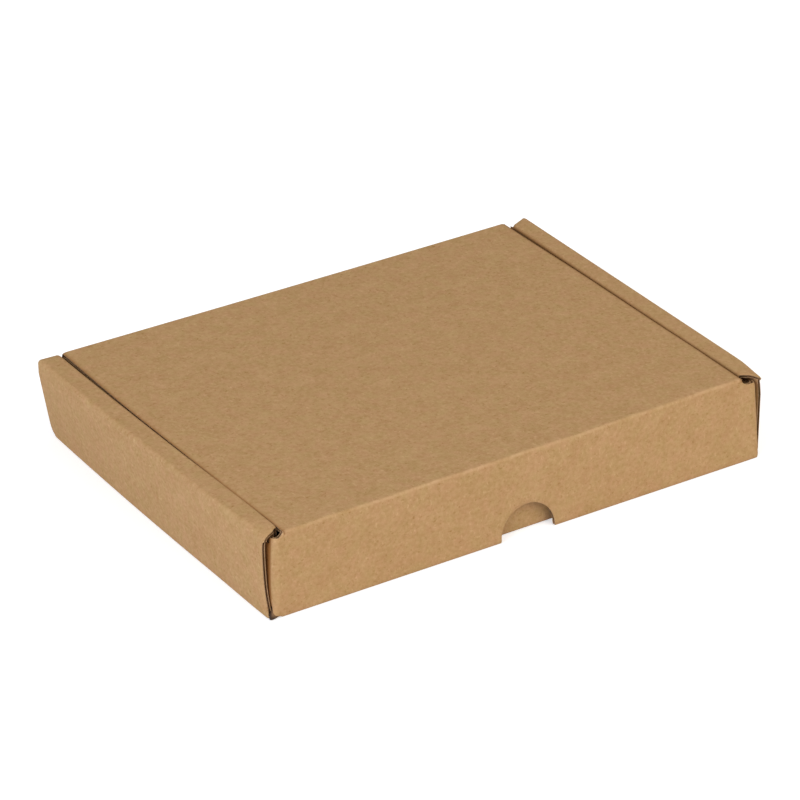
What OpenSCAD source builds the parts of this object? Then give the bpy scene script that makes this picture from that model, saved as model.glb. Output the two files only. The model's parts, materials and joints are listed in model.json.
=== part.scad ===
// Corrugated mailer box, die-cut and folded from one sheet without glue or tape.
// The tray has doubled, rolled-over side walls. The lid lies between them, level with
// their tops, and its front flap hangs outside the front wall, with an ear tucked into
// the pocket of each side wall.
// Millimetres. The origin is on the table under the middle of the box, X runs along the
// front, Y runs to the back and Z runs up.

/* [Board] */
// Thickness of the corrugated board
board_t = 1.5; // [1.2:0.1:2]
// Gap between two layers of board that lie against each other
slip = 0.15; // [0.1:0.05:0.3]
// Outer radius that the board takes at a fold
fold_r = 1.2; // [0.6:0.1:1.2]

/* [Inside of the box] */
// Clear length between the two rolled side walls
inside_w = 152; // [110:1:260]
// Clear depth from the front wall to the back wall
inside_d = 113; // [100:1:220]
// Clear height under the closed lid
inside_h = 22; // [18:1:60]

/* [Rolled side walls] */
// How far the front end of an outer side wall lies behind the lid's front fold
side_front_set = 0.8; // [0.4:0.1:1.6]
// How far the back end of an outer side wall lies ahead of the back face
side_back_set = 0.3; // [0:0.1:1]
// Size of the cut across the lower back corner of an outer side wall
side_corner_cut = 2.2; // [1:0.1:4]
// Width of a lock tab that holds an inner side wall down
tab_w = 18; // [10:1:24]
// Distance of each lock tab from the middle of the side wall
tab_reach = 30; // [16:1:34]
// Height of the lock tabs' ends above the table
tab_lift = 0.2; // [0.1:0.1:0.5]

/* [Corner flaps] */
// Length of the flap that each end of the front and back walls has in the side walls
corner_flap_l = 40; // [20:1:46]
// Slanting cut on both corners of a corner flap's free end
corner_flap_bevel = 5; // [1:0.5:8]

/* [Lid] */
// Gap between the lid and a side wall at the lid's front corners
lid_gap_front = 0.3; // [0.2:0.1:1]
// Gap between the lid and a side wall at the lid's back corners
lid_gap_back = 0.9; // [0.2:0.1:2]

/* [Front flap] */
// Room between the front wall and the front flap at the fold
flap_room = 0.4; // [0.3:0.1:1.5]
// Angle by which the flap's foot stands out from the upright
flap_lean = 4.5; // [0:0.5:8]
// How much shorter the flap is than the box's height
flap_short = 0.4; // [0.3:0.1:2]
// Depth below the lid's top at which the flap is cut back beside the lid's front fold
shoulder_drop = 2.4; // [1.9:0.1:4]
// Radius of the round relief beside each end of the lid's front fold
relief_r = 2.2; // [1.2:0.1:2.2]
// Depth of that relief's lowest point below the lid's top
relief_depth = 3.4; // [3:0.1:5]
// Width of the slanting cut at the flap's lower left corner
foot_cut_w = 2.4; // [1:0.1:4]
// Height of the slanting cut at the flap's lower left corner
foot_cut_h = 3.2; // [1:0.1:5]
// Diameter of the half-round thumb notch in the flap's foot
notch_d = 18.8; // [12:0.2:24]
// Distance of the thumb notch to the right of the middle
notch_shift = 1.2; // [-3:0.1:3]
// Depth below the lid's top at which an ear's upper edge begins
ear_drop = 3.4; // [2.5:0.1:6]
// Room between the lowest swing of an ear and the bottom of the tray
ear_room = 0.4; // [0.2:0.1:2]

/* [Hidden] */
$fn = 64;

kraft = [0.71, 0.56, 0.39];
past = 1;

layer = board_t + slip;
strip_w = 3 * layer + board_t;
box_w = inside_w + 2 * strip_w;
box_h = inside_h + 2 * board_t;
roof = box_h - board_t;
lid_d = inside_d + 3 * board_t + flap_room;

flap_l = box_h - flap_short;
flap_reach = flap_l * sin(flap_lean);
back_y = (lid_d + flap_reach) / 2;
fold_y = back_y - lid_d;

front_wall_y = fold_y + board_t + flap_room;
wall_top = roof - slip;
wall_half = box_w / 2 - 2 * layer;

side_front_y = fold_y + side_front_set;
side_back_y = back_y - side_back_set;
inner_front_y = front_wall_y + layer;
inner_back_y = back_y - layer;
inner_mid_y = (inner_front_y + inner_back_y) / 2;

lid_half_front = inside_w / 2 - lid_gap_front;
lid_half_back = inside_w / 2 - lid_gap_back;

ear_half = box_w / 2 - layer;
ear_r = box_h - board_t - ear_room;
relief_x = lid_half_front + relief_r;
relief_z = relief_r - relief_depth;

// What has to be cut from a square corner at the origin to give it a round of radius r
module corner_waste(r) {
    difference() {
        translate([-past, -past]) square(r + past);
        translate([r, r]) circle(r);
    }
}

// Stretches a flat outline, drawn in Y and Z, along X and centres it
module along_x(length) {
    translate([-length / 2, 0, 0]) rotate([90, 0, 90]) linear_extrude(length) children();
}

// Stretches a flat outline, drawn in X and Z, along Y from its first to its second place
module along_y(from, to) {
    translate([0, to, 0]) rotate([90, 0, 0]) linear_extrude(to - from) children();
}

// Section through a rolled side wall, from its outer face inwards
module roll_section() {
    difference() {
        square([strip_w, box_h]);
        translate([board_t, -past]) square([strip_w - 2 * board_t, roof + past]);
        translate([board_t, -past]) square([strip_w, layer + past]);
        corner_waste(fold_r);
        translate([0, box_h]) mirror([0, 1]) corner_waste(fold_r);
        translate([strip_w, box_h]) rotate(180) corner_waste(fold_r);
    }
}

// Outer side wall, seen from the side, with its cut lower back corner
module outer_wall_outline() {
    polygon([
        [side_front_y, 0], [side_back_y - side_corner_cut, 0], [side_back_y, side_corner_cut],
        [side_back_y, roof], [side_front_y, roof]
    ]);
}

// Top strip, seen from above: its ends slant from the outer wall to the inner wall
module strip_outline() {
    polygon([
        [0, side_front_y], [strip_w, inner_front_y],
        [strip_w, inner_back_y], [0, side_back_y]
    ]);
}

// One doubled side wall at the left: up, over the top strip and down again inside
module rolled_side() {
    translate([-box_w / 2, 0, 0]) intersection() {
        along_y(side_front_y, side_back_y) roll_section();
        union() {
            translate([board_t / 2, 0, 0]) along_x(board_t) outer_wall_outline();
            translate([0, 0, roof]) linear_extrude(board_t) strip_outline();
            translate([strip_w - board_t, inner_front_y, layer])
                cube([board_t, inner_back_y - inner_front_y, roof - layer]);
        }
    }
    for (side = [-1, 1])
        translate([-box_w / 2 + strip_w - board_t, inner_mid_y + side * tab_reach - tab_w / 2, tab_lift])
            cube([board_t, tab_w, layer - tab_lift]);
}

// Slots in the bottom, at the left, that the lock tabs go through
module tab_slots() {
    for (side = [-1, 1])
        translate([
            -box_w / 2 + strip_w - board_t - slip,
            inner_mid_y + side * tab_reach - tab_w / 2 - slip,
            -past
        ])
            cube([board_t + 2 * slip, tab_w + 2 * slip, board_t + 2 * past]);
}

// Bottom of the tray between its four upright walls
module bottom_panel() {
    difference() {
        translate([-box_w / 2 + board_t, front_wall_y + board_t, 0])
            cube([box_w - 2 * board_t, back_y - front_wall_y - 2 * board_t, board_t]);
        tab_slots();
        mirror([1, 0, 0]) tab_slots();
    }
}

// Front or back wall, seen from above, with its outer face on the X axis
module wall_plan(run) {
    difference() {
        translate([-wall_half, 0]) square([2 * wall_half, run]);
        translate([-wall_half + board_t, board_t]) square([2 * (wall_half - board_t), run]);
        translate([-wall_half, 0]) corner_waste(fold_r);
        translate([wall_half, 0]) mirror([1, 0]) corner_waste(fold_r);
    }
}

// Slanting cuts on the free ends of the corner flaps, seen from the side
module corner_flap_bevels() {
    for (end = [layer, wall_top])
        translate([corner_flap_l, end])
            rotate(45) square(sqrt(2) * corner_flap_bevel, center = true);
}

// Front or back wall that stands on the bottom's fold, with a corner flap at each end
module upright_wall() {
    difference() {
        translate([0, 0, layer]) linear_extrude(wall_top - layer) wall_plan(corner_flap_l);
        along_x(box_w) corner_flap_bevels();
    }
    intersection() {
        linear_extrude(layer) wall_plan(board_t);
        along_x(box_w) difference() {
            square([board_t, layer]);
            corner_waste(fold_r);
        }
    }
}

module tray() {
    color(kraft) {
        bottom_panel();
        translate([0, front_wall_y, 0]) upright_wall();
        translate([0, back_y, 0]) mirror([0, 1, 0]) upright_wall();
        rolled_side();
        mirror([1, 0, 0]) rolled_side();
    }
}

// Lid, seen from above: a little narrower at the back so that it drops in easily
module lid_outline() {
    polygon([
        [-lid_half_front, fold_y], [lid_half_front, fold_y],
        [lid_half_back, back_y], [-lid_half_back, back_y]
    ]);
}

// Section through the lid from its front fold to its back fold
module lid_section() {
    translate([fold_y, roof]) difference() {
        square([lid_d, board_t]);
        translate([0, board_t]) mirror([0, 1]) corner_waste(fold_r);
        translate([lid_d, board_t]) rotate(180) corner_waste(fold_r);
    }
}

module lid() {
    color(kraft) intersection() {
        along_x(box_w) lid_section();
        translate([0, 0, roof]) linear_extrude(board_t) lid_outline();
    }
}

// Front flap, seen from the front, hanging from the fold line at Z zero
module flap_outline() {
    difference() {
        translate([-ear_half, -flap_l]) square([2 * ear_half, flap_l - layer]);
        for (side = [0, 1]) mirror([side, 0]) {
            translate([relief_x, relief_z]) circle(relief_r);
            translate([relief_x - relief_r, relief_z]) square([2 * relief_r, past - relief_z]);
            translate([relief_x, -shoulder_drop]) square([ear_half, shoulder_drop + past]);
        }
        translate([notch_shift, -flap_l]) circle(d = notch_d);
        polygon([
            [-ear_half - past, -flap_l - past], [-ear_half + foot_cut_w, -flap_l - past],
            [-ear_half + foot_cut_w, -flap_l], [-ear_half, -flap_l + foot_cut_h],
            [-ear_half - past, -flap_l + foot_cut_h]
        ]);
    }
}

// Ear, seen from the side: a rounded leaf that can swing out of its pocket
module ear_outline() {
    intersection() {
        circle(ear_r);
        translate([0, -ear_r]) square([ear_r, ear_r - ear_drop]);
    }
}

module front_flap() {
    color(kraft) translate([0, fold_y, box_h]) rotate([-flap_lean, 0, 0]) {
        intersection() {
            along_y(0, board_t) flap_outline();
            translate([0, 0, -flap_l]) linear_extrude(flap_l) difference() {
                translate([-ear_half, 0]) square([2 * ear_half, board_t]);
                translate([-ear_half, 0]) corner_waste(fold_r);
                translate([ear_half, 0]) mirror([1, 0]) corner_waste(fold_r);
            }
        }
        for (side = [0, 1])
            mirror([side, 0, 0]) translate([ear_half - board_t / 2, 0, 0]) difference() {
                along_x(board_t) ear_outline();
                translate([board_t / 2, 0, -flap_l]) linear_extrude(flap_l)
                    mirror([1, 0]) corner_waste(fold_r);
            }
    }
}

tray();
lid();
front_flap();
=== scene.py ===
import json
from math import acos, ceil, cos, pi, radians, sin, tan

import bmesh
import bpy
import numpy as np
from mathutils import Matrix, Vector


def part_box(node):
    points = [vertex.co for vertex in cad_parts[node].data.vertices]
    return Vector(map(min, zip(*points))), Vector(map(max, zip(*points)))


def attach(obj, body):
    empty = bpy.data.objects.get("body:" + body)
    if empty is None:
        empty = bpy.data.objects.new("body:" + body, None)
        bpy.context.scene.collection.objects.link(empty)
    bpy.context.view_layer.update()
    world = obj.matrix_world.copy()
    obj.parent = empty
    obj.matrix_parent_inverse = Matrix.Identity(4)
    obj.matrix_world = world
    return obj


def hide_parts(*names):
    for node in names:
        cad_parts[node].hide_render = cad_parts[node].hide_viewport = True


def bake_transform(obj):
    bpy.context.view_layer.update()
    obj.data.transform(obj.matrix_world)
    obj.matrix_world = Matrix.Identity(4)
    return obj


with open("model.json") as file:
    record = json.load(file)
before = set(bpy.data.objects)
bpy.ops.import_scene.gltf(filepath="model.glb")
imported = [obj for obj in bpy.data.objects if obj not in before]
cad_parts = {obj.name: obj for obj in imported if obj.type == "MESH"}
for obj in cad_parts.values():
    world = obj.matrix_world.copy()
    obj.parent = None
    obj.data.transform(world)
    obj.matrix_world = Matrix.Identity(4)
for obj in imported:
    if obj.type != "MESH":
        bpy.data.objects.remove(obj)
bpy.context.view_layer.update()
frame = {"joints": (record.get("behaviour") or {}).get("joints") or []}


# The studio: a camera in front of the box's left corner, a white floor that runs on into a
# white surround, and two wide soft lamps, a warm one in front and a cool one at the left.
MM = 0.001
CAMERA_AZIMUTH = radians(-32.9)
CAMERA_ELEVATION = radians(29.17)
CAMERA_DISTANCE = 1.091
CAMERA_AIM = Vector((0, 0.965, 0)) * MM
CAMERA_AIM_RIGHT = -0.64 * MM
CAMERA_AIM_UP = 12.17 * MM
NEAREST_SEEN = 0.01
FARTHEST_SEEN = 20
FOCAL_PIXELS = 3832.6
FRAME_PIXELS = 800
SENSOR = 36

back = Vector((
    sin(CAMERA_AZIMUTH) * cos(CAMERA_ELEVATION),
    -cos(CAMERA_AZIMUTH) * cos(CAMERA_ELEVATION),
    sin(CAMERA_ELEVATION),
))
right = Vector((0, 0, 1)).cross(back).normalized()
up = back.cross(right)
scene = bpy.context.scene
camera_data = bpy.data.cameras.new("camera")
camera_data.sensor_width = SENSOR
camera_data.lens = FOCAL_PIXELS * SENSOR / FRAME_PIXELS
camera_data.clip_start = NEAREST_SEEN
camera_data.clip_end = FARTHEST_SEEN
camera = bpy.data.objects.new("camera", camera_data)
scene.collection.objects.link(camera)
camera.matrix_world = Matrix.Translation(
    CAMERA_AIM + right * CAMERA_AIM_RIGHT + up * CAMERA_AIM_UP + back * CAMERA_DISTANCE
) @ Matrix((right, up, back)).transposed().to_4x4()
bpy.context.scene.camera = camera
scene.view_settings.view_transform = "Standard"

LAMP_AIM = Vector((0, 0, 0.012))


def area_lamp(name, place, size, power, colour):
    """A square lamp that faces the middle of the box."""
    data = bpy.data.lights.new(name, "AREA")
    data.shape = "SQUARE"
    data.size = size
    data.energy = power
    data.color = colour
    lamp = bpy.data.objects.new(name, data)
    lamp.location = place
    lamp.rotation_euler = (LAMP_AIM - lamp.location).to_track_quat("-Z", "Y").to_euler()
    scene.collection.objects.link(lamp)


area_lamp("front_lamp", place=(0.4, -0.85, 0.7), size=0.9, power=6.15, colour=(1.0, 0.95, 0.895))
area_lamp("left_lamp", place=(-1.05, -0.35, 0.5), size=0.8, power=9.4, colour=(0.8, 0.85, 1.0))

SURROUND_COLOUR = (1.0, 0.985, 0.95, 1)
SURROUND_LIGHT = 0.503
SURROUND_SEEN = 1.0

world = bpy.data.worlds.new("surround")
scene.world = world
world.use_nodes = True
sky = world.node_tree.nodes
links = world.node_tree.links
sky.clear()
plain_light = sky.new("ShaderNodeBackground")
plain_light.inputs["Color"].default_value = SURROUND_COLOUR
plain_light.inputs["Strength"].default_value = SURROUND_LIGHT
seen_white = sky.new("ShaderNodeBackground")
seen_white.inputs["Strength"].default_value = SURROUND_SEEN
rays = sky.new("ShaderNodeLightPath")
choose = sky.new("ShaderNodeMixShader")
world_out = sky.new("ShaderNodeOutputWorld")
links.new(rays.outputs["Is Camera Ray"], choose.inputs["Fac"])
links.new(plain_light.outputs[0], choose.inputs[1])
links.new(seen_white.outputs[0], choose.inputs[2])
links.new(choose.outputs[0], world_out.inputs["Surface"])

FLOOR_REACH = 3.0
FLOOR_DROP = 0.05 * MM
FLOOR_WHITE = (0.82, 0.82, 0.82, 1)
FLOOR_ROUGHNESS = 0.9
FLOOR_SPECULAR = 0.1
FLOOR_GLOW = 0.5
FLOOR_GLOW_COLOUR = (1, 1, 1, 1)


def sums(tree, operation, first, second):
    """Two values through one Math node. Either may be a plain number."""
    node = tree.nodes.new("ShaderNodeMath")
    node.operation = operation
    for socket, value in zip(node.inputs, (first, second)):
        if isinstance(value, (int, float)):
            socket.default_value = value
        else:
            tree.links.new(value, socket)
    return node.outputs[0]


floor_corners = ((-1, -1), (1, -1), (1, 1), (-1, 1))
floor_mesh = bpy.data.meshes.new("floor")
floor_mesh.from_pydata(
    [(x * FLOOR_REACH, y * FLOOR_REACH, -FLOOR_DROP) for x, y in floor_corners], [], [(0, 1, 2, 3)],
)
floor = bpy.data.objects.new("floor", floor_mesh)
scene.collection.objects.link(floor)
floor_white = bpy.data.materials.new("floor_white")
floor_white.use_nodes = True
tree = floor_white.node_tree
paint = tree.nodes["Principled BSDF"]
paint.inputs["Base Color"].default_value = FLOOR_WHITE
paint.inputs["Roughness"].default_value = FLOOR_ROUGHNESS
paint.inputs["Specular IOR Level"].default_value = FLOOR_SPECULAR
paint.inputs["Emission Color"].default_value = FLOOR_GLOW_COLOUR
floor_rays = tree.nodes.new("ShaderNodeLightPath")
glow = sums(tree, "MULTIPLY", floor_rays.outputs["Is Camera Ray"], FLOOR_GLOW)
tree.links.new(glow, paint.inputs["Emission Strength"])
floor_mesh.materials.append(floor_white)


# The bottom panel is the middle of the one sheet that the whole box is cut and folded from:
# two kraft papers glued to a fluted one, 1.5 mm in all. It is creased up into the front and
# back walls, and near each side it has two slots for the lock tabs of the side walls.
tray_low, tray_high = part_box("tray")
lid_low, lid_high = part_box("lid")
hinges = {joint["name"]: Vector(joint["pos_m"]) for joint in frame["joints"]}

BOARD = lid_high.z - lid_low.z
LINER = 0.22 * MM
FLUTE_PAPER = 0.16 * MM
SLIP = 0.15 * MM
LAYER = BOARD + SLIP
FLAP_ROOM = 0.4 * MM
SIDE_BACK_SET = 0.3 * MM

HEIGHT = tray_high.z
HALF_WIDTH = tray_high.x
STRIP_WIDTH = 3 * LAYER + BOARD
WALL_HALF = HALF_WIDTH - 2 * LAYER
BACK_Y = hinges["lid_hinge"].y
FOLD_Y = hinges["flap_hinge"].y
SIDE_FRONT_Y = tray_low.y
SIDE_BACK_Y = BACK_Y - SIDE_BACK_SET
FRONT_WALL_Y = FOLD_Y + BOARD + FLAP_ROOM

FOLD_RADIUS = 0.9 * MM
FOLD_INSIDE = 0.12 * MM
FOLD_STEPS = 10
CREASE_SPREAD = 1.2 * MM
CREASE_STOPS = (0.25, 0.5, 0.75, 1.0)
FLAT_STEP = 3 * MM


def fold_path(corners, marks=None, radii=None):
    """Points along a board's outer face, which is folded towards its inner side at each inner
    corner, with the inner face's points, the way gone so far and how near a fold each one is.
    marks are further stops along each leg, and radii the outer radii of the folds."""
    corners = [np.array(corner, float) for corner in corners]
    legs = [after - before for before, after in zip(corners, corners[1:])]
    sizes = [float(np.linalg.norm(leg)) for leg in legs]
    ways = [leg / size for leg, size in zip(legs, sizes)]
    folds = [acos(max(-1.0, min(1.0, float(a @ b)))) for a, b in zip(ways, ways[1:])]
    radii = radii or [FOLD_RADIUS] * len(folds)
    turn = 1.0
    if folds:
        turn = float(np.sign(ways[0][0] * ways[1][1] - ways[0][1] * ways[1][0]))
    cuts = [0.0] + [radius * tan(fold / 2) for radius, fold in zip(radii, folds)] + [0.0]
    centres = [max(radius, BOARD + FOLD_INSIDE) for radius in radii]
    inner_cuts = [0.0] + [reach * tan(fold / 2) for reach, fold in zip(centres, folds)] + [0.0]
    outer, inner, run, near = [], [], [], []
    done = 0.0
    for k, (corner, way, size) in enumerate(zip(corners, ways, sizes)):
        inward = turn * np.array((-way[1], way[0]))
        begin, end = cuts[k], size - cuts[k + 1]
        first, last = inner_cuts[k], size - inner_cuts[k + 1]
        flat_steps = max(1, ceil((end - begin) / FLAT_STEP))
        stops = {begin, end} | set(np.linspace(begin, end, flat_steps + 1))
        for part in CREASE_STOPS:
            stops |= {begin + part * CREASE_SPREAD} if k > 0 else set()
            stops |= {end - part * CREASE_SPREAD} if k < len(folds) else set()
        stops |= set((marks or {}).get(k, ()))
        squeezed = [begin, begin + CREASE_SPREAD, end - CREASE_SPREAD, end]
        squeezed_inner = [first, begin + CREASE_SPREAD, end - CREASE_SPREAD, last]
        for stop in sorted(stop for stop in stops if begin <= stop <= end):
            inner_stop = stop
            if end - begin > 2 * CREASE_SPREAD:
                inner_stop = float(np.interp(stop, squeezed, squeezed_inner))
            outer.append(corner + way * stop)
            inner.append(corner + way * inner_stop + inward * BOARD)
            run.append(done + stop - begin)
            from_fold = min(
                stop - begin if k > 0 else CREASE_SPREAD,
                end - stop if k < len(folds) else CREASE_SPREAD,
            )
            near.append(0.5 * max(0.0, 1 - from_fold / CREASE_SPREAD))
        done += end - begin
        if k < len(folds):
            centre = corner + way * end + inward * radii[k]
            inner_centre = corner + way * (size - inner_cuts[k + 1]) + inward * centres[k]
            for step in range(1, FOLD_STEPS):
                part = folds[k] * step / FOLD_STEPS
                spoke = way * sin(part) - inward * cos(part)
                outer.append(centre + spoke * radii[k])
                inner.append(inner_centre + spoke * (centres[k] - BOARD))
                run.append(done + part * radii[k])
                near.append(0.5 + 0.5 * sin(pi * step / FOLD_STEPS))
            done += folds[k] * radii[k]
    return np.array(outer), np.array(inner), np.array(run), np.array(near)


def ramp(value, start, end):
    """Rises smoothly from 0 at the start to 1 at the end."""
    share = np.clip((value - start) / (end - start), 0, 1)
    return share * share * (3 - 2 * share)


def across_box(start, end):
    """Two places to one side of the box's middle, given as shares of half its width."""
    return start * HALF_WIDTH, end * HALF_WIDTH


def up_box(start, end):
    """Two heights, given as shares of the box's height."""
    return start * HEIGHT, end * HEIGHT


LEFT_FOOT_IN = 2.2 * MM
LEFT_FOOT_MIDDLE = 0.75 * MM
LEFT_FOOT_BOW = 1.5
LEFT_TOP_OUT = 2.2 * MM
LEFT_BEND = across_box(0.65, 0.97)
LEAN_HEIGHT = 0.82 * HEIGHT
LEFT_END_TOP_IN = 1.4 * MM
LEFT_END_FOOT_OUT = 0.35 * MM
LEFT_END_WALL = across_box(0.92, 0.96)
LEFT_END_REACH = 0.25
BACK_OUT = 0.35 * MM
BACK_BOW = (0.5 * BACK_Y, BACK_Y)


def lean_sides(x, y, z):
    """Folding by hand leaves the box's left side leaning out at its top and in at its foot,
    pressed in at its front end, and the back fold bowed."""
    left = ramp(-x, *LEFT_BEND)
    lean = np.clip(z / LEAN_HEIGHT, 0, 1)
    along = np.clip((y - SIDE_FRONT_Y) / (SIDE_BACK_Y - SIDE_FRONT_Y), 0, 1)
    foot = LEFT_FOOT_MIDDLE + (LEFT_FOOT_IN - LEFT_FOOT_MIDDLE) * (LEFT_FOOT_BOW * along - 1) ** 2
    moved = left * (foot * (1 - lean) - LEFT_TOP_OUT * ramp(along, 0, 1) * lean)
    end = ramp(-x, *LEFT_END_WALL) * ramp(LEFT_END_REACH - along, 0, LEFT_END_REACH)
    moved += end * (LEFT_END_TOP_IN * lean ** 2 - LEFT_END_FOOT_OUT * (1 - lean))
    bow = BACK_OUT * ramp(y, *BACK_BOW) * (x / HALF_WIDTH) ** 2 * z / HEIGHT
    return x + moved, y + bow, z


TIP_DROOP = 1.1 * MM
TIP_REACH = 10 * MM
TIP_TOP = up_box(0.88, 1)
TIP_OUTER = across_box(0.95, 1)
TIP_BEFORE = (-SIDE_FRONT_Y - TIP_REACH, -SIDE_FRONT_Y)
RIGHT_TIP_OUT = 0.6 * MM
RIGHT_NECK_IN = 0.5 * MM
NECK = up_box(0.8, 0.92)
LEFT_STRIP_IN = 1.1 * MM
LEFT_STRIP_REAR_IN = 0.45 * MM
STRIP_INSIDE = across_box(0.88, 0.92)
STRIP_OUTSIDE = across_box(0.94, 0.98)
RIGHT_OUT = 0.35 * MM
RIGHT_WALL = across_box(0.94, 0.97)
RIGHT_WALL_TOP = up_box(0.75, 0.95)
FRONT_FOOT_OUT = 0.9 * MM
FRONT_WALL_FRONT = (-FRONT_WALL_Y - 4 * BOARD, -FRONT_WALL_Y)
FRONT_WALL_RIGHT = across_box(0.9, 0.96)
LEFT_FOOT_FORWARD = 0.6 * MM
FRONT_WALL_LEFT = across_box(0.95, 0.97)


def settle_tray(x, y, z):
    """The tray as folded: the strips' front tips droop, the left strip lies in, the right wall
    bulges and the front wall's foot stands out."""
    tip = ramp(np.abs(x), *TIP_OUTER) * ramp(-y, *TIP_BEFORE)
    top = ramp(z, *TIP_TOP)
    neck = RIGHT_NECK_IN * (x > 0) * tip * ramp(z, *NECK) * (1 - top)
    strip = ramp(-x, *STRIP_INSIDE) - ramp(-x, *STRIP_OUTSIDE)
    strip = strip * (LEFT_STRIP_REAR_IN + (LEFT_STRIP_IN - LEFT_STRIP_REAR_IN) * ramp(-y, 0, -FOLD_Y))
    bulge = RIGHT_OUT * ramp(x, *RIGHT_WALL) * (1 - ramp(z, *RIGHT_WALL_TOP))
    foot = ramp(-y, *FRONT_WALL_FRONT) * (1 - ramp(x, *FRONT_WALL_RIGHT))
    forward = FRONT_FOOT_OUT + LEFT_FOOT_FORWARD * ramp(-x, *FRONT_WALL_LEFT)
    return lean_sides(
        x + strip + bulge - neck,
        y - RIGHT_TIP_OUT * tip * top * (x > 0) - forward * foot * np.clip(1 - z / HEIGHT, 0, 1),
        z - TIP_DROOP * tip * top,
    )


SHARP_EDGE = radians(40)


def slab(near_face, far_face, face_slot, edge_slot):
    """A closed sheet between two grids of points: its corners, faces and material slots."""
    rows, columns = near_face.shape[:2]
    number = np.arange(rows * columns).reshape(rows, columns)
    far = number + rows * columns
    corners = (number[:-1, :-1], number[1:, :-1], number[1:, 1:], number[:-1, 1:])
    grid = np.stack(corners, -1).reshape(-1, 4)
    faces = [grid, grid[:, ::-1] + rows * columns]
    for line, other in (
        (number[0], far[0]), (number[-1][::-1], far[-1][::-1]),
        (number[:, 0][::-1], far[:, 0][::-1]), (number[:, -1], far[:, -1]),
    ):
        faces.append(np.stack((line[:-1], line[1:], other[1:], other[:-1]), -1))
    slots = [face_slot] * (2 * len(grid)) + [edge_slot] * sum(len(part) for part in faces[2:])
    points = np.concatenate((near_face.reshape(-1, 3), far_face.reshape(-1, 3)))
    return points, np.concatenate(faces), slots


def paper_object(name, settle, slabs, marks, materials):
    """One mesh object from several closed sheets, with its marks for the materials."""
    mesh = bpy.data.meshes.new(name)
    points = np.concatenate([part[0] for part in slabs])
    starts = np.cumsum([0] + [len(part[0]) for part in slabs[:-1]])
    faces = np.concatenate([part[1] + start for part, start in zip(slabs, starts)])
    mesh.from_pydata(np.stack(settle(*points.T), -1).tolist(), [], faces.tolist())
    for mark_name, values in marks.items():
        attribute = mesh.attributes.new(mark_name, "FLOAT", "POINT")
        attribute.data.foreach_set("value", values.astype(np.float32))
    for material in materials:
        mesh.materials.append(material)
    mesh.polygons.foreach_set("material_index", [slot for part in slabs for slot in part[2]])
    shaper = bmesh.new()
    shaper.from_mesh(mesh)
    bmesh.ops.recalc_face_normals(shaper, faces=shaper.faces)
    shaper.to_mesh(mesh)
    shaper.free()
    mesh.shade_smooth()
    mesh.set_sharp_from_angle(angle=SHARP_EDGE)
    made = bpy.data.objects.new(name, mesh)
    scene.collection.objects.link(made)
    return made


FLUTE_PITCH = 3.1 * MM
FLUTE_STEPS = 10
FLUTE_SET_BACK = 0.4 * MM
PINCH = 0.26 * MM
PINCH_REACH = 1.2 * MM
PINCH_STEPS = np.array((0, 0.12, 0.3, 0.6))
NARROW_EDGE = 0.4
TORN_REACH = 4 * LINER
AT_CREASE = 0.01
LEVEL = 1e-9
FLAT_STATIONS_KEPT = 4
ROWS_PER_FLUTING_ROW = 3


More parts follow.
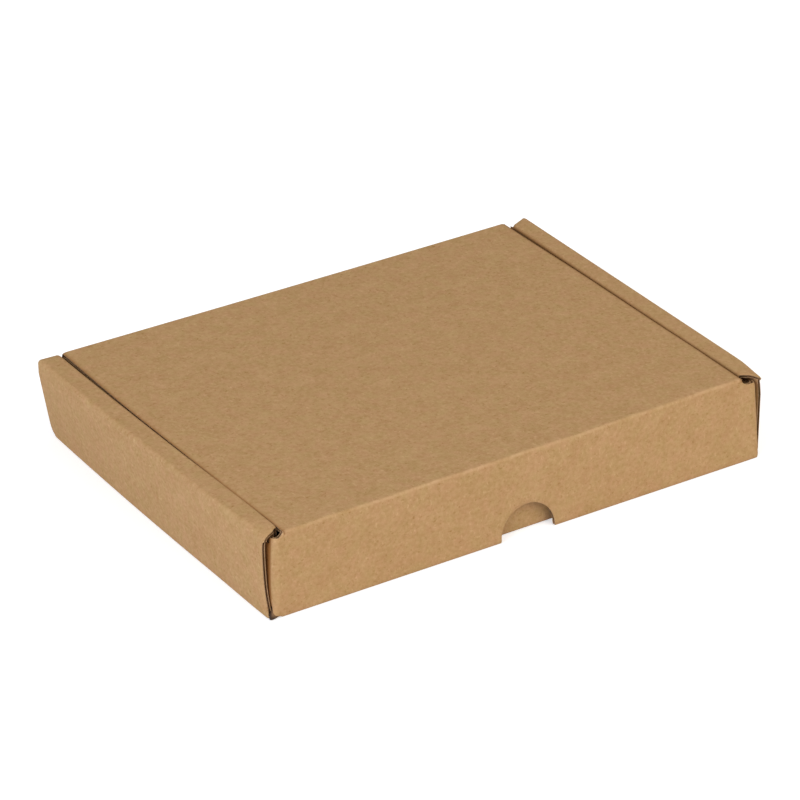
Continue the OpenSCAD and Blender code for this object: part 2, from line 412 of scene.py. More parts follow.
def board(
    name, settle, path, low, high, rows, place, flutes,
    rub_and_highlight=0.4, torn_low=None, cut=(1, 1), painted_shade=0, side_painted_shade=0,
):
    """A panel's two liners and its fluting. low and high say, for each point of the path, how
    far the panel reaches to both sides of it, and cut where those sides are cut edges, which
    the knife pinches. The flutes cross the path, or run along it. rub_and_highlight says how
    pale the creases are, partly rubbed and partly a painted highlight, and torn_low is where the
    outer liner ends if it is torn off the fluting. painted_shade and side_painted_shade say how
    much painted shade darkens the outer liner along the path and at its cut sides."""
    outer, inner, run, near = path
    low = np.broadcast_to(low, run.shape).astype(float)
    high = np.broadcast_to(high, run.shape).astype(float)
    torn_low = low if torn_low is None else torn_low
    cut_low, cut_high = (np.broadcast_to(side, run.shape).astype(float) for side in cut)
    painted_shade = np.broadcast_to(painted_shade, run.shape).astype(float)
    depth = (inner - outer) / np.linalg.norm(inner - outer, axis=1)[:, None]

    def stations(line_low, line_high, count):
        width = (line_high - line_low)[:, None]
        by_edge = np.minimum(PINCH_REACH, NARROW_EDGE * width)
        middle = np.linspace(0, 1, count + 1) * (width - 2 * by_edge)
        low_steps = by_edge * PINCH_STEPS
        steps = np.concatenate((low_steps, by_edge + middle, width - low_steps[:, ::-1]), 1)
        return line_low[:, None] + steps

    def pinched(reach, line_low, line_high, low_share, high_share):
        from_low = np.clip(1 - (reach - line_low[:, None]) / PINCH_REACH, 0, 1)
        from_high = np.clip(1 - (line_high[:, None] - reach) / PINCH_REACH, 0, 1)
        return PINCH * (low_share[:, None] * from_low ** 2 + high_share[:, None] * from_high ** 2)

    faces = []
    reaches = []
    painted_shades = []
    for line, line_low, side in (
        (outer, torn_low, 1), (outer + depth * LINER, torn_low, 1),
        (inner - depth * LINER, low, -1), (inner, low, -1),
    ):
        reach = stations(line_low, high, rows)
        flattened = pinched(reach, line_low, high, cut_low, cut_high)
        sunk = side * flattened
        # Painted shade on the outer liner: along the path, and towards its pinched cut sides
        painted_shades.append((side > 0) * (painted_shade[:, None] + side_painted_shade * flattened / PINCH).ravel())
        faces.append(place(line[:, :1] + sunk * depth[:, :1], line[:, 1:] + sunk * depth[:, 1:], reach))
        reaches.append(reach.ravel())
    liners = [slab(faces[0], faces[1], 0, 1), slab(faces[2], faces[3], 0, 1)]
    columns = faces[0].shape[1]
    wave_place = np.concatenate(reaches) if flutes == "along" else np.tile(np.repeat(run, columns), 4)
    both = paper_object(
        name + "_liners", settle, liners,
        {
            "flute_place": wave_place,
            "crease": np.tile(np.repeat(near * rub_and_highlight, columns), 4),
            "painted_shade": np.concatenate(painted_shades),
        },
        [kraft_face, cut_edge],
    )

    if flutes == "along":
        keep = near > AT_CREASE
        keep |= np.abs(np.gradient(low, edge_order=1)) + np.abs(np.gradient(high, edge_order=1)) > LEVEL
        keep[::FLAT_STATIONS_KEPT] = True
        keep[[0, -1]] = True
        fine_run = run[keep]
        count = ceil(float((high - low).max()) / FLUTE_PITCH * FLUTE_STEPS)
    else:
        fine_run = np.arange(run[0] + FLUTE_SET_BACK, run[-1] - FLUTE_SET_BACK, FLUTE_PITCH / FLUTE_STEPS)
        count = max(2, rows // ROWS_PER_FLUTING_ROW)
    fine_run = np.clip(fine_run, run[0] + FLUTE_SET_BACK, run[-1] - FLUTE_SET_BACK)

    def at_run(values):
        return np.stack([np.interp(fine_run, run, column) for column in np.atleast_2d(values.T)], -1)

    fine_outer, fine_inner = at_run(outer), at_run(inner)
    fine_low, fine_high, torn, low_share, high_share = (
        at_run(values)[:, 0] for values in (low, high, torn_low, cut_low, cut_high)
    )
    reach = stations(fine_low + FLUTE_SET_BACK, fine_high - FLUTE_SET_BACK, count)
    sunk = LINER + pinched(reach, fine_low, fine_high, low_share, high_share)
    phase = reach if flutes == "along" else np.repeat(fine_run[:, None], reach.shape[1], 1)
    swing = 0.5 - (sunk + FLUTE_PAPER / 2) / BOARD
    middle = 0.5 + swing * np.cos(2 * pi * phase / FLUTE_PITCH)
    # Where the outer liner is torn off, the fluting lies flat, and its colour there is painted near black
    # as shade
    bare_and_painted_shade = ramp(torn[:, None] - reach, 0, TORN_REACH)
    middle = middle * (1 - bare_and_painted_shade) + (LINER + FLUTE_PAPER) / BOARD * bare_and_painted_shade
    slope = 2 * pi * swing * BOARD / FLUTE_PITCH * np.abs(np.sin(2 * pi * phase / FLUTE_PITCH))
    half = FLUTE_PAPER / 2 / BOARD * np.sqrt(1 + slope ** 2)
    sheets = []
    for side in (-1, 1):
        part = np.clip(middle + side * half, sunk / BOARD, 1 - sunk / BOARD)
        flat = fine_outer[:, None, :] + (fine_inner - fine_outer)[:, None, :] * part[..., None]
        sheets.append(place(flat[..., 0], flat[..., 1], reach))
    fluting = paper_object(
        name + "_fluting", settle, [slab(sheets[0], sheets[1], 0, 0)],
        {"bare_and_painted_shade": np.tile(bare_and_painted_shade.ravel(), 2)}, [flute_face],
    )
    return both, fluting


def noise(tree, place, scale, detail, roughness):
    """A noise texture's value."""
    node = tree.nodes.new("ShaderNodeTexNoise")
    node.inputs["Scale"].default_value = scale
    node.inputs["Detail"].default_value = detail
    node.inputs["Roughness"].default_value = roughness
    tree.links.new(place, node.inputs["Vector"])
    return node.outputs["Fac"]


def ranged(tree, value, low, high, top=1):
    """Maps the range from low to high to that from 0 to the top, held at both ends."""
    node = tree.nodes.new("ShaderNodeMapRange")
    node.inputs["From Min"].default_value = low
    node.inputs["From Max"].default_value = high
    node.inputs["To Min"].default_value = 0
    node.inputs["To Max"].default_value = top
    tree.links.new(value, node.inputs["Value"])
    return node.outputs["Result"]


def stretched(tree, place, scale, turn):
    """Coordinates stretched in one direction, for marks that are longer than wide."""
    node = tree.nodes.new("ShaderNodeMapping")
    node.inputs["Scale"].default_value = scale
    node.inputs["Rotation"].default_value = turn
    tree.links.new(place, node.inputs["Vector"])
    return node.outputs["Vector"]


NOISE_MIDDLE = 0.5
PULP_RELIEF = 0.5
STRAND_RELIEF = 0.3

fibres = bpy.data.node_groups.new("kraft_fibres", "ShaderNodeTree")
for label in ("Cloudiness", "Grain", "Flecks"):
    fibres.interface.new_socket(label, in_out="INPUT", socket_type="NodeSocketFloat")
for label in ("Tone", "Warmth", "Height"):
    fibres.interface.new_socket(label, in_out="OUTPUT", socket_type="NodeSocketFloat")
group_in = fibres.nodes.new("NodeGroupInput").outputs
group_out = fibres.nodes.new("NodeGroupOutput").inputs
where = fibres.nodes.new("ShaderNodeTexCoord").outputs["Object"]
cloud = noise(fibres, where, scale=160, detail=2, roughness=0.5)
pulp = noise(fibres, where, scale=900, detail=2, roughness=0.6)
long_way = stretched(fibres, where, scale=(0.5, 1.0, 1.0), turn=(0.2, 0.3, 0.5))
cross_way = stretched(fibres, where, scale=(1.0, 0.5, 0.5), turn=(0.4, -0.3, 0.25))
long_strands = noise(fibres, long_way, scale=1700, detail=1, roughness=0.5)
cross_strands = noise(fibres, cross_way, scale=1500, detail=1, roughness=0.5)
dark_strands = ranged(fibres, long_strands, low=0.62, high=0.78)
pale_strands = ranged(fibres, cross_strands, low=0.62, high=0.78)
specks = ranged(fibres, noise(fibres, where, scale=1300, detail=0, roughness=0.5), low=0.74, high=0.82)
cloud = sums(fibres, "MULTIPLY", sums(fibres, "SUBTRACT", cloud, NOISE_MIDDLE), group_in["Cloudiness"])
grain = sums(fibres, "MULTIPLY", sums(fibres, "SUBTRACT", pulp, NOISE_MIDDLE), group_in["Grain"])
flecks = sums(fibres, "SUBTRACT", sums(fibres, "SUBTRACT", pale_strands, dark_strands), specks)
flecks = sums(fibres, "MULTIPLY", flecks, group_in["Flecks"])
tone = sums(fibres, "ADD", sums(fibres, "ADD", cloud, grain), flecks)
fibres.links.new(sums(fibres, "ADD", tone, NOISE_MIDDLE), group_out["Tone"])
patch_place = stretched(fibres, where, scale=(1, 1, 1), turn=(1.0, 0.4, 0.7))
patches = noise(fibres, patch_place, scale=260, detail=2, roughness=0.6)
fibres.links.new(ranged(fibres, patches, low=0.32, high=0.68), group_out["Warmth"])
height = sums(fibres, "MULTIPLY", pulp, PULP_RELIEF)
for strands in (cross_strands, long_strands):
    height = sums(fibres, "ADD", height, sums(fibres, "MULTIPLY", strands, STRAND_RELIEF))
fibres.links.new(height, group_out["Height"])


def mixed(tree, factor, first, second):
    """A Mix node between two colours. Each is a socket or a plain colour."""
    node = tree.nodes.new("ShaderNodeMix")
    node.data_type = "RGBA"
    for label, colour in (("A", first), ("B", second)):
        if isinstance(colour, tuple):
            node.inputs[label].default_value = (*colour, 1)
        else:
            tree.links.new(colour, node.inputs[label])
    tree.links.new(factor, node.inputs["Factor"])
    return node.outputs["Result"]


def mark(tree, name):
    """A value that the mesh carries at its points."""
    node = tree.nodes.new("ShaderNodeAttribute")
    node.attribute_name = name
    return node.outputs["Fac"]


KRAFT_CONTRAST = (0.36, 0.46, 0.7)
KRAFT_ROUGHNESS = 0.82
KRAFT_SPECULAR = 0.25
KRAFT_RELIEF = 0.05 * MM


def kraft_paper(name, olive, ruddy, cloudiness, grain, flecks, bump):
    """A kraft paper: patches of two hues, each from dark to light, with fibres in its surface."""
    material = bpy.data.materials.new(name)
    material.use_nodes = True
    tree = material.node_tree
    shader = tree.nodes["Principled BSDF"]
    shader.inputs["Roughness"].default_value = KRAFT_ROUGHNESS
    shader.inputs["Specular IOR Level"].default_value = KRAFT_SPECULAR
    paper = tree.nodes.new("ShaderNodeGroup")
    paper.node_tree = fibres
    paper.inputs["Cloudiness"].default_value = cloudiness
    paper.inputs["Grain"].default_value = grain
    paper.inputs["Flecks"].default_value = flecks
    dark, light = (
        mixed(tree, paper.outputs["Warmth"], *(
            tuple(part * (1 + side * spread) for part, spread in zip(hue, KRAFT_CONTRAST))
            for hue in (olive, ruddy)
        ))
        for side in (-1, 1)
    )
    colour = mixed(tree, paper.outputs["Tone"], dark, light)
    relief = tree.nodes.new("ShaderNodeBump")
    relief.inputs["Strength"].default_value = bump
    relief.inputs["Distance"].default_value = KRAFT_RELIEF
    tree.links.new(paper.outputs["Height"], relief.inputs["Height"])
    tree.links.new(relief.outputs["Normal"], shader.inputs["Normal"])
    tree.links.new(colour, shader.inputs["Base Color"])
    return material, tree, shader, colour, relief


# The flat faces: paler along the creases, partly rubbed and partly a painted highlight of the light the
# folds catch, darkened brown with painted shade where they are marked so, and faintly ribbed by the
# flutes under them
RUBBED_AND_HIGHLIT_KRAFT = (0.66, 0.44, 0.25)
# Painted shade: the dark brown that the seams' edges and the left ear's fold are darkened towards
PAINTED_SHADE_KRAFT = (0.235, 0.095, 0.02)
CREASE_SHARPNESS = 3.0
WASHBOARD_STRENGTH = 0.25
WASHBOARD_RELIEF = 0.02 * MM

kraft_face, tree, shader, colour, relief = kraft_paper(
    "kraft_face", olive=(0.442, 0.275, 0.115), ruddy=(0.463, 0.267, 0.123),
    cloudiness=0.22, grain=0.57, flecks=0.2, bump=0.45,
)
where = tree.nodes.new("ShaderNodeTexCoord").outputs["Object"]
# Partly painted highlight: the creases are paled, as rubbed liner and as the light the folds catch, in
# patches
rub_and_highlight_patches = noise(tree, where, scale=140, detail=4, roughness=0.7)
rub_and_highlight_patches = ranged(tree, rub_and_highlight_patches, low=0.36, high=0.66, top=0.75)
crease_rub_and_highlight = sums(tree, "MULTIPLY", sums(tree, "POWER", mark(tree, "crease"), CREASE_SHARPNESS), rub_and_highlight_patches)
colour = mixed(tree, crease_rub_and_highlight, colour, RUBBED_AND_HIGHLIT_KRAFT)
# Painted shade, mixed in where the mesh marks it: along the seams beside the lid and on the left ear's
# fold
colour = mixed(tree, mark(tree, "painted_shade"), colour, PAINTED_SHADE_KRAFT)
tree.links.new(colour, shader.inputs["Base Color"])
flute_turn = sums(tree, "MULTIPLY", mark(tree, "flute_place"), 2 * pi / FLUTE_PITCH)
washboard = tree.nodes.new("ShaderNodeBump")
washboard.inputs["Strength"].default_value = WASHBOARD_STRENGTH
washboard.inputs["Distance"].default_value = WASHBOARD_RELIEF
tree.links.new(sums(tree, "SINE", flute_turn, 0), washboard.inputs["Height"])
tree.links.new(washboard.outputs["Normal"], relief.inputs["Normal"])

# The liners' cut edges, and the fluted paper, which is painted near black as shade where the liner is
# torn off it
TORN_CORNER_PAINTED_SHADE = (0.05, 0.028, 0.015)

cut_edge = kraft_paper(
    "cut_edge", olive=(0.34, 0.21, 0.105), ruddy=(0.34, 0.2, 0.105),
    cloudiness=0.3, grain=0.8, flecks=0.4, bump=0.6,
)[0]
flute_face, tree, shader, colour, relief = kraft_paper(
    "flute_face", olive=(0.24, 0.135, 0.062), ruddy=(0.25, 0.135, 0.065),
    cloudiness=0.3, grain=0.6, flecks=0.4, bump=0.5,
)
# Painted shade: the bared fluting goes near black
tree.links.new(mixed(tree, mark(tree, "bare_and_painted_shade"), colour, TORN_CORNER_PAINTED_SHADE), shader.inputs["Base Color"])


def along_x(a, b, reach):
    """A path drawn from the side, in Y and Z, spread along X."""
    return np.stack((reach, a, b), -1)


def on_tray(made):
    """Panels of the tray stay with it and stand for its solid."""
    for piece in made:
        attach(piece, "tray")
        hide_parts("tray")


CREASE_REACH = 3.5 * MM
FLOOR_EDGE = 3 * MM
FLOOR_HALF = HALF_WIDTH - FLOOR_EDGE
FLOOR_ROWS = 48

floor_path = fold_path([
    (FRONT_WALL_Y, CREASE_REACH), (FRONT_WALL_Y, 0), (BACK_Y, 0), (BACK_Y, CREASE_REACH),
])
floor_half = np.where(floor_path[0][:, 1] > FOLD_RADIUS / 2, WALL_HALF - FOLD_RADIUS, FLOOR_HALF)
bottom = board(
    "bottom_panel", settle_tray, floor_path, -floor_half, floor_half, FLOOR_ROWS, along_x, "across",
    cut=(0, 0),
)

TAB_WIDTH = 18 * MM
TAB_REACH = 30 * MM
INNER_FRONT_Y = FRONT_WALL_Y + LAYER
INNER_BACK_Y = BACK_Y - LAYER
TAB_MIDDLES = [(INNER_FRONT_Y + INNER_BACK_Y) / 2 + side * TAB_REACH for side in (-1, 1)]
CUTTER_HEIGHT = 6 * BOARD

slot_cutter = bpy.data.meshes.new("slot_cutter")
cutter_shape = bmesh.new()
for side in (-1, 1):
    for middle in TAB_MIDDLES:
        room = Matrix.Translation((side * (HALF_WIDTH - STRIP_WIDTH + BOARD / 2), middle, 0))
        size = Matrix.Diagonal((BOARD + 2 * SLIP, TAB_WIDTH + 2 * SLIP, CUTTER_HEIGHT, 1))
        bmesh.ops.create_cube(cutter_shape, size=1, matrix=room @ size)
cutter_shape.to_mesh(slot_cutter)
cutter_shape.free()
cutter = bpy.data.objects.new("slot_cutter", slot_cutter)
scene.collection.objects.link(cutter)
for piece in bottom:
    slots = piece.modifiers.new("slots", "BOOLEAN")
    slots.operation = "DIFFERENCE"
    slots.solver = "EXACT"
    slots.object = cutter
    with bpy.context.temp_override(object=piece, active_object=piece, selected_objects=[piece]):
        bpy.ops.object.modifier_apply(modifier=slots.name)
bpy.data.objects.remove(cutter)
on_tray(bottom)


# The front and back walls, creased up from the bottom panel, each with a corner flap folded
# back at both ends. The flaps lie loose inside the side walls, and their free corners are cut
# at a slant, so that the side walls roll over them easily.
CORNER_FLAP = 40 * MM
FLAP_BEVEL = 5 * MM
CORNER_EASE = 1.9 * MM
EASED_CORNER = (0.92 * WALL_HALF, 0.96 * WALL_HALF)
FRONT_WALL_LOWERED = 0.5 * MM
WALL_TOP = HEIGHT - BOARD - SLIP
WALL_ROWS = 10
LID_GAP_BACK = 0.9 * MM
LID_HALF_FRONT = lid_high.x
LID_HALF_BACK = HALF_WIDTH - STRIP_WIDTH - LID_GAP_BACK
NUDGE = 1e-6
TOUCH = 1e-7


def from_above(a, b, reach):
    """A path drawn from above, in X and Y, spread upwards."""
    return np.stack((a, b, reach), -1)


def upright_wall(name, face_y, way, joined_half, lowered):
    """A wall that stands on the bottom's crease, with its inner side to the back for way 1 and
    to the front for -1. Where the lid is joined to it, between -joined_half and joined_half, it
    ends below the lid's crease. lowered is how far its free top edge is cut down, so that the
    lid's front crease has room to bend over it."""
    path = fold_path(
        [
            (-WALL_HALF, face_y + way * CORNER_FLAP), (-WALL_HALF, face_y),
            (WALL_HALF, face_y), (WALL_HALF, face_y + way * CORNER_FLAP),
        ],
        {1: [WALL_HALF + side * joined_half + nudge for side in (-1, 1) for nudge in (-NUDGE, NUDGE)]},
    )
    x = path[0][:, 0]
    from_face = np.abs(path[0][:, 1] - face_y)
    slant = np.clip(from_face - (CORNER_FLAP - FLAP_BEVEL), 0, None)
    on_wall = np.abs(x) < WALL_HALF - FOLD_RADIUS + TOUCH
    low = np.where(on_wall, CREASE_REACH, LAYER) + slant
    ease = CORNER_EASE * ramp(np.abs(x), *EASED_CORNER)
    joined = np.abs(x) < joined_half
    high = np.where(joined, HEIGHT - CREASE_REACH, WALL_TOP - np.maximum(ease, lowered)) - slant
    return board(
        name, settle_tray, path, low, high, WALL_ROWS, from_above, "along", cut=(~on_wall, ~joined),
    )


on_tray(upright_wall("front_wall", FRONT_WALL_Y, way=1, joined_half=0, lowered=FRONT_WALL_LOWERED))
on_tray(upright_wall("back_wall", BACK_Y, way=-1, joined_half=LID_HALF_BACK, lowered=0))


# The rolled side walls: the same board up outside, over a narrow top strip and down again
# inside, round the corner flaps and the ears. Nothing is glued: two lock tabs under each inner
# wall hold it in the bottom's slots.
SIDE_CORNER_CUT = 2.2 * MM
STRIP_FOLD_RADIUS = 0.9 * MM
FOOT_FOLD_RADIUS = 0.5 * MM
FOOT_TURN = 0.3 * FOOT_FOLD_RADIUS
# Painted shade: how dark the seams' edges are made, standing for the shade in the gaps between the lid
# and the top strips
SEAM_PAINTED_SHADE = 0.8
SIDE_ROWS = 48
TAB_LIFT = 0.2 * MM
TAB_ROWS = 6


def rolled_side(name, side, strip_slant, edge_radius, set_back):
    """One side wall, at the left for -1 and at the right for 1. strip_slant is how far its top
    strip's back end comes forward over its width, and set_back how far its outer wall's front
    end lies back at some heights."""
    path = fold_path(
        [(FLOOR_EDGE, 0), (0, 0), (0, HEIGHT), (STRIP_WIDTH, HEIGHT), (STRIP_WIDTH, LAYER)],
        radii=[FOOT_FOLD_RADIUS, edge_radius, STRIP_FOLD_RADIUS],
    )
    u, z = path[0].T
    share = np.clip(u / STRIP_WIDTH, 0, 1)
    on_top = z > HEIGHT - edge_radius
    low = SIDE_FRONT_Y + (INNER_FRONT_Y - SIDE_FRONT_Y) * np.where(on_top, share, u > STRIP_WIDTH / 2)
    low += np.interp(z, *zip(*set_back)) * (u < STRIP_WIDTH / 2)
    high = np.where(u > STRIP_WIDTH / 2, INNER_BACK_Y, SIDE_BACK_Y)
    high = np.where(on_top, SIDE_BACK_Y - strip_slant * share, high)
    high -= np.clip(SIDE_CORNER_CUT - z, 0, None) * (u < STRIP_WIDTH / 2)
    under = (z < FOOT_FOLD_RADIUS / 2) & (u > FOOT_TURN)
    low = np.where(under, FRONT_WALL_Y + BOARD, low)
    high = np.where(under, BACK_Y - BOARD, high)

    def place(a, b, reach):
        return np.stack((side * (HALF_WIDTH - a), reach, b), -1)

    # Painted shade on the top strip's inner edge, beside the seam with the lid
    from_edge = STRIP_WIDTH - u + np.clip(HEIGHT - z - STRIP_FOLD_RADIUS, 0, None)
    painted_shade = SEAM_PAINTED_SHADE * np.clip(1 - from_edge / PINCH_REACH, 0, 1) ** 2
    on_tray(board(name, settle_tray, path, low, high, SIDE_ROWS, place, "along", painted_shade=painted_shade))
    for number, middle in enumerate(TAB_MIDDLES):
        tab = fold_path([(STRIP_WIDTH, LAYER), (STRIP_WIDTH, TAB_LIFT)])
        tab = (tab[0], tab[1] + (-2 * BOARD, 0), tab[2], tab[3])
        on_tray(board(
            f"{name}_lock_tab_{number + 1}", settle_tray, tab,
            middle - TAB_WIDTH / 2, middle + TAB_WIDTH / 2, TAB_ROWS, place, "along",
        ))


LEFT_STRIP_SLANT = 0.3 * MM
LEFT_EDGE_RADIUS = 1.3 * MM
LEFT_SET_BACK = ((0, 0), (3 * MM, 0.25 * MM), (8.5 * MM, 0.85 * MM), (21.8 * MM, 1.25 * MM), (24 * MM, 0))
RIGHT_STRIP_SLANT = 2.8 * MM
RIGHT_SET_BACK = ((0, 0),)

rolled_side("left_side", -1, LEFT_STRIP_SLANT, LEFT_EDGE_RADIUS, LEFT_SET_BACK)
rolled_side("right_side", 1, RIGHT_STRIP_SLANT, FOLD_RADIUS, RIGHT_SET_BACK)


# The lid panel, of the same board, lies level with the top strips and is a little narrower at
# the back, so that it drops in easily. Its back crease joins it to the back wall.
LID_CORNER_RISE = 0.55 * MM
LID_NARROW_FRONT = 0.7 * MM
LID_NARROW_BACK = 0.5 * MM
LID_FRONT_PART = (0.45 * -FOLD_Y, -FOLD_Y)
LID_BACK_PART = (0.2 * BACK_Y, BACK_Y)
LID_CREASE_PART = (HEIGHT - CREASE_REACH, HEIGHT)
BESIDE_LID = across_box(0.92, 0.96)
RISE_ACROSS = across_box(0.2, 0.95)
RISE_FORWARD = (0.2 * HALF_WIDTH, -FOLD_Y)
FOLD_WAVES = ((0.08 * MM, 31 * MM), (0.05 * MM, 12.7 * MM))
FOLD_WAVE_START = 1
FOLD_WAVE_PART = (0.9 * -FOLD_Y, -FOLD_Y)
LID_ROWS = 50


def settle_lid(x, y, z):
    """The lid as it lies: its corners pulled in, the right front one standing up a little, and
    the front fold a little wavy."""
    upward = np.clip(z / HEIGHT, 0, 1)
    at_front = ramp(-y, *LID_FRONT_PART)
    at_back = ramp(y, *LID_BACK_PART) * ramp(z, *LID_CREASE_PART)
    narrow = LID_NARROW_FRONT * at_front + LID_NARROW_BACK * at_back
    on_lid = 1 - ramp(np.abs(x), *BESIDE_LID)
    rise = LID_CORNER_RISE * ramp(x, *RISE_ACROSS) * ramp(-y, *RISE_FORWARD)
    for size, length in FOLD_WAVES:
        wave = size * np.sin(2 * pi * x / length + FOLD_WAVE_START)
        rise = rise + wave * ramp(-y, *FOLD_WAVE_PART)
    return lean_sides(x * (1 - narrow * on_lid / LID_HALF_FRONT), y, z + rise * upward)


def lid_half(y):
    """Half the lid's width at a place between its front and back folds."""
    share = (y - FOLD_Y) / (BACK_Y - FOLD_Y)
    return LID_HALF_FRONT + (LID_HALF_BACK - LID_HALF_FRONT) * share


lid_path = fold_path([(BACK_Y - CREASE_REACH, HEIGHT), (FOLD_Y + CREASE_REACH, HEIGHT)])
half = lid_half(lid_path[0][:, 0])
# The lid's cut sides are darkened with painted shade from the seams
for piece in board(
    "lid_panel", settle_lid, lid_path, -half, half, LID_ROWS, along_x, "across",
    side_painted_shade=SEAM_PAINTED_SHADE,
):
    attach(piece, "lid")
    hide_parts("lid")

crease_path = fold_path([
    (BACK_Y, HEIGHT - CREASE_REACH), (BACK_Y, HEIGHT), (BACK_Y - CREASE_REACH, HEIGHT),
])
half = lid_half(crease_path[0][:, 0])
# The back crease's cut sides are darkened with painted shade as well
for piece in board(
    "back_crease", settle_lid, crease_path, -half, half, LID_ROWS, along_x, "across",
    side_painted_shade=SEAM_PAINTED_SHADE,
):
    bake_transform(piece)
    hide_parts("lid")


# The front flap, creased down from the lid, hangs outside the front wall. It has a round relief
# at each end of the lid's front fold, a half-round thumb notch in its foot, a torn lower left
# corner whose bared fluting is painted near black as shade, and at each end an ear, a rounded
# leaf that holds it by friction in the side wall.
FLAP_LEAN = radians(4.5)
FLAP_LENGTH = HEIGHT - 0.1 * MM
EAR_HALF = HALF_WIDTH - LAYER
EAR_RADIUS = HEIGHT - BOARD - 0.4 * MM
EAR_DROP = 3.4 * MM
EAR_FOLD = 2.2 * MM
RIGHT_EAR_FOLD = 1.3 * MM
LEFT_END_OF_FLAP = across_box(0.92, 0.96)
RIGHT_END_OF_FLAP = across_box(0.93, 0.98)
FLAP_FRONT_PART = (0.85 * -FOLD_Y, -FOLD_Y)
FLAP_FOOT_OUT = 0.4 * MM
FLAP_FOOT_TURN = 0.6 * MM
LEFT_TUCK = 1.1 * MM
LEFT_FOOT_TUCK = -0.3 * MM
RIGHT_TUCK = 0.9 * MM
RIGHT_FOOT_TUCK = 0.4 * MM
TORN_CORNER_OUT = 2.2 * MM
TORN_CORNER_FORWARD = 0.9 * MM
TORN_CORNER_PART = (1 * MM, 4 * MM)
NOT_QUITE_NOTHING = 1e-9


def hang(a, b, reach):
    """Turns what is drawn for a flap that hangs straight down from its fold to its lean."""
    y = b * cos(FLAP_LEAN) + reach * sin(FLAP_LEAN)
    z = -b * sin(FLAP_LEAN) + reach * cos(FLAP_LEAN)
    return np.stack((a, FOLD_Y + y, HEIGHT + z), -1)


def settle_flap(x, y, z):
    """The flap as it hangs: its foot stands further out at the right than at the left, its ends
    are tucked in behind the side walls, and its torn corner is bent out."""
    downward = np.clip(1 - z / HEIGHT, 0, 1)
    out = (FLAP_FOOT_OUT + FLAP_FOOT_TURN * x / HALF_WIDTH) * downward
    left_end = ramp(-x, *LEFT_END_OF_FLAP) * ramp(-y, *FLAP_FRONT_PART)
    left_tuck = left_end * (LEFT_TUCK * (1 - downward) + LEFT_FOOT_TUCK * downward)
    right_end = ramp(x, *RIGHT_END_OF_FLAP)
    right_tuck = right_end * (RIGHT_TUCK * (1 - downward) + RIGHT_FOOT_TUCK * downward)
    beside = np.clip(EAR_FOLD - EAR_HALF - x, NOT_QUITE_NOTHING, None)
    before = np.clip(FOLD_Y - (HEIGHT - z) * sin(FLAP_LEAN) + EAR_FOLD - y, 0, None)
    torn = 2 * beside * before / (beside ** 2 + before ** 2) * (1 - ramp(z, *TORN_CORNER_PART))
    torn *= x < 0
    return settle_lid(
        x + left_tuck - right_tuck - TORN_CORNER_OUT * torn,
        y - out - TORN_CORNER_FORWARD * torn,
        z,
    )


RELIEF_RADIUS = 2.2 * MM
RELIEF_X = LID_HALF_FRONT + RELIEF_RADIUS
LEFT_RELIEF_DEPTH = 1.5 * MM
RIGHT_RELIEF_DEPTH = 2.3 * MM
LEFT_SHOULDER_DROP = 1.6 * MM
RIGHT_SHOULDER_DROP = 2.3 * MM
NOTCH_RADIUS = 8.9 * MM
NOTCH_RISE = 0.4 * MM
NOTCH_SHIFT = 1.5 * MM
FOOT_CUT_WIDTH = 2.3 * MM
FOOT_CUT_HEIGHT = 3.5 * MM
ROUND_STOPS = 33
ROUND_END = 1e-3
EAR_STOPS = 28
EAR_START = 0.3 * MM
EAR_TIP_ANGLE = 0.15
# Painted shade: where the left ear's fold turns in behind the left wall's front end
EAR_SHADE_PART = (EAR_HALF - 0.14 * EAR_FOLD, EAR_HALF - 0.02 * EAR_FOLD)
FLAP_ROWS = 30
# How pale the flap's folds are, partly rubbed and partly painted highlight
FLAP_RUB_AND_HIGHLIGHT = 0.3

round_turns = np.linspace(ROUND_END, pi - ROUND_END, ROUND_STOPS)
flap_marks = [EAR_HALF + NOTCH_SHIFT + NOTCH_RADIUS * cos(turn) for turn in round_turns]
for side in (-1, 1):
    flap_marks.append(EAR_HALF + NOTCH_SHIFT + side * (NOTCH_RADIUS + NUDGE))
    flap_marks += [EAR_HALF + side * (RELIEF_X + RELIEF_RADIUS * cos(turn)) for turn in round_turns]
    flap_marks += [EAR_HALF + side * (LID_HALF_FRONT + nudge) for nudge in (-NUDGE, NUDGE)]
ear_run = EAR_RADIUS * cos(EAR_TIP_ANGLE)
ear_marks = list(np.linspace(EAR_START, ear_run, EAR_STOPS))
flap_path = fold_path(
    [(-EAR_HALF, ear_run), (-EAR_HALF, 0), (EAR_HALF, 0), (EAR_HALF, ear_run)],
    {0: ear_marks, 1: flap_marks, 2: ear_marks},
    [EAR_FOLD, RIGHT_EAR_FOLD],
)
x, y = flap_path[0].T
on_ear = y > EAR_FOLD - TOUCH

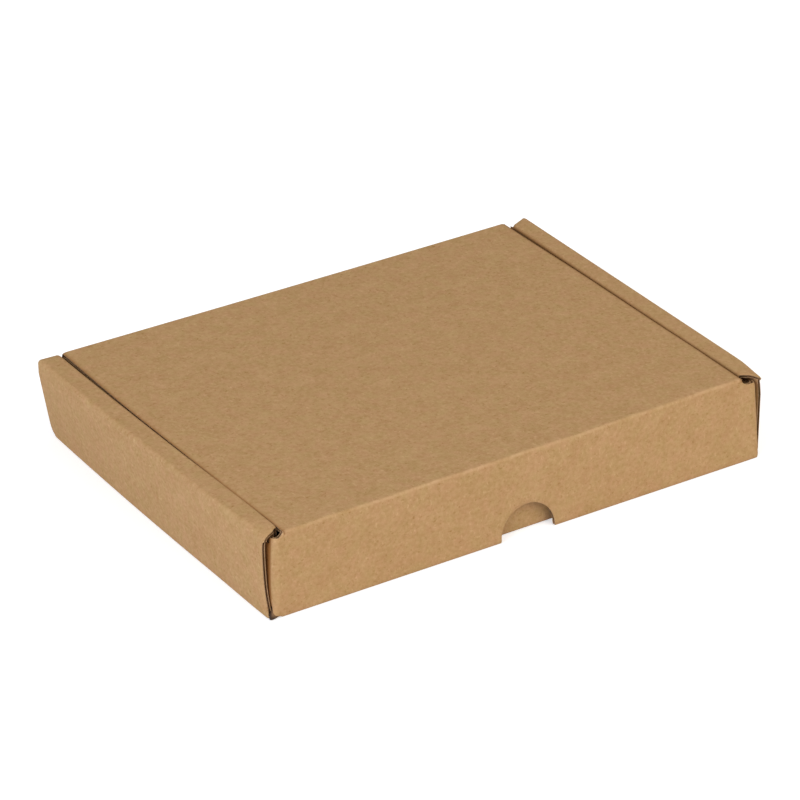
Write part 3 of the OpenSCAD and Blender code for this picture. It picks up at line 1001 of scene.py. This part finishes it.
drop = np.where(x < 0, LEFT_SHOULDER_DROP, RIGHT_SHOULDER_DROP)
depth = np.where(x < 0, LEFT_RELIEF_DEPTH, RIGHT_RELIEF_DEPTH)
in_relief = np.sqrt(np.clip(RELIEF_RADIUS ** 2 - (np.abs(x) - RELIEF_X) ** 2, 0, None))
top = np.where(in_relief > 0, RELIEF_RADIUS - depth - in_relief, -drop)
top = np.where(np.abs(x) > RELIEF_X, np.minimum(top, -drop), np.minimum(top, 0))
top = np.where(np.abs(x) < LID_HALF_FRONT, -CREASE_REACH, top)
top = np.where(on_ear, -EAR_DROP, top)

in_notch = np.sqrt(np.clip(NOTCH_RADIUS ** 2 - (x - NOTCH_SHIFT) ** 2, 0, None))
in_notch += NOTCH_RISE * (in_notch > 0)
cut_share = np.clip((x + EAR_HALF) / FOOT_CUT_WIDTH, 0, 1)
foot = -FLAP_LENGTH + in_notch
torn_foot = foot + FOOT_CUT_HEIGHT * (1 - cut_share)
ear_foot = -np.sqrt(np.clip(EAR_RADIUS ** 2 - y ** 2, 0, None))
ear_foot -= (FLAP_LENGTH - EAR_RADIUS) * (1 - ramp(y, EAR_FOLD, 3 * EAR_FOLD))
foot = np.where(on_ear, ear_foot, foot)
torn_foot = np.where(on_ear, ear_foot, torn_foot)
# Painted shade on the left ear's fold, in the gap beside the left wall's front end
ear_painted_shade = ramp(-x, *EAR_SHADE_PART) * (1 - ramp(y, EAR_FOLD, 3 * EAR_FOLD))

for piece in board(
    "front_flap", settle_flap, flap_path, foot, top, FLAP_ROWS, hang, "along",
    rub_and_highlight=FLAP_RUB_AND_HIGHLIGHT, torn_low=torn_foot, cut=(1, np.abs(x) >= LID_HALF_FRONT), painted_shade=ear_painted_shade,
):
    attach(piece, "front_flap")
    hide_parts("front_flap")

# The crease between lid and flap, one skin bent round the fold
CREASE_ROWS = 120
# How pale the front fold is, partly rubbed and partly painted highlight
CREASE_RUB_AND_HIGHLIGHT = 0.8

lean_end = (FOLD_Y - CREASE_REACH * sin(FLAP_LEAN), HEIGHT - CREASE_REACH * cos(FLAP_LEAN))
crease_path = fold_path([(FOLD_Y + CREASE_REACH, HEIGHT), (FOLD_Y, HEIGHT), lean_end])
half = np.minimum(lid_half(crease_path[0][:, 0]), LID_HALF_FRONT)
on_flap = crease_path[0][:, 1] < HEIGHT - FOLD_RADIUS
# The front crease's cut sides are darkened with painted shade from the seams
for piece in board(
    "front_crease", settle_flap, crease_path, -half, half, CREASE_ROWS, along_x, "across",
    rub_and_highlight=CREASE_RUB_AND_HIGHLIGHT, cut=(~on_flap, ~on_flap), side_painted_shade=SEAM_PAINTED_SHADE,
):
    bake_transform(piece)
    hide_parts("front_flap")
